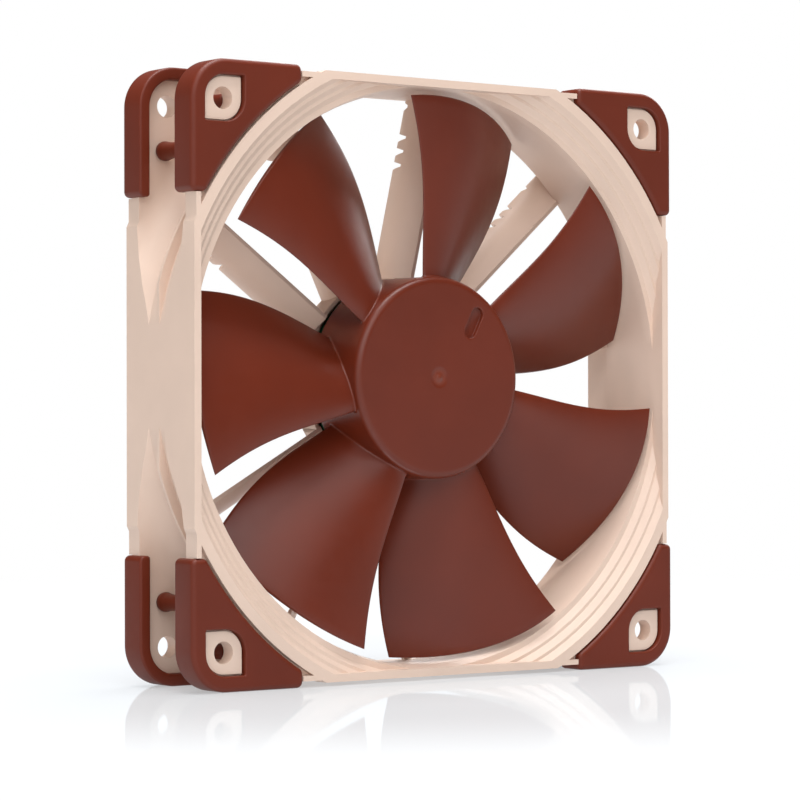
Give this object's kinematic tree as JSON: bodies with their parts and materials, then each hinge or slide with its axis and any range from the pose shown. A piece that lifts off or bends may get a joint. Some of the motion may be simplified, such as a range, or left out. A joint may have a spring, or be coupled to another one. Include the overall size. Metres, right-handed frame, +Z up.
{
  "type": "case fan",
  "caption": "Square computer case fan with a ducted impeller, straight guide vanes behind it, rubber corner pads and a brushless motor.",
  "frame": {"origin": "centre of the fan's box, which lies on the rotor's axis halfway between the inlet and outlet pad faces", "axes": "+Y along the rotor's axis, from inlet to outlet; +X to the right seen from the inlet; +Z up"},
  "size_m": [0.12, 0.025, 0.12],
  "materials": {
    "frame_plastic": "satin cream moulding, fine texture",
    "pad_rubber": "matte brown-red silicone rubber",
    "blade_plastic": "satin brown-red moulding",
    "brass": "turned brass",
    "sintered_bronze": "oil-filled sintered bronze",
    "black_rubber": "black rubber",
    "magnet": "plastic-bonded ferrite",
    "bobbin_plastic": "natural nylon",
    "lamination_steel": "stacked silicon steel",
    "enamelled_copper": "enamelled copper wire",
    "board_green": "solder-masked glass laminate",
    "black_plastic": "moulded epoxy",
    "capacitor_ceramic": "ceramic",
    "tinned_steel": "tinned",
    "label_film": "blank silver-grey film",
    "yoke_steel": "drawn steel, zinc plated",
    "shaft_steel": "ground steel"
  },
  "bodies": {
    "housing": {"frame": "frame_plastic", "guide_vanes": "frame_plastic", "motor_base": "frame_plastic", "pad_front_top_left": "pad_rubber", "pad_front_top_right": "pad_rubber", "pad_front_bottom_left": "pad_rubber", "pad_front_bottom_right": "pad_rubber", "pad_rear_top_left": "pad_rubber", "pad_rear_top_right": "pad_rubber", "pad_rear_bottom_left": "pad_rubber", "pad_rear_bottom_right": "pad_rubber", "bearing_shell": "brass", "bearing_sleeve": "sintered_bronze", "oil_seal": "black_rubber", "stabiliser_magnet": "magnet", "thrust_plate": "bobbin_plastic", "bearing_end_cap": "brass", "stator_core": "lamination_steel", "insulator_front": "bobbin_plastic", "insulator_rear": "bobbin_plastic", "coil_1": "enamelled_copper", "coil_2": "enamelled_copper", "coil_3": "enamelled_copper", "coil_4": "enamelled_copper", "circuit_board": "board_green", "driver_chip": "black_plastic", "hall_sensor": "black_plastic", "capacitor": "capacitor_ceramic", "terminal_pins": "tinned_steel", "solder_joints": "tinned_steel", "blank_label": "label_film"},
    "rotor": {"impeller": "blade_plastic", "rotor_yoke": "yoke_steel", "ring_magnet": "magnet", "shaft": "shaft_steel", "shaft_insert": "brass", "thrust_washer": "bobbin_plastic", "retaining_ring": "shaft_steel"}
  },
  "joints": [
    {"name": "rotor_spin", "type": "hinge", "parent": "housing", "child": "rotor", "pos_m": [0, 0, 0], "axis": [0, -1, 0], "continuous": true}
  ]
}
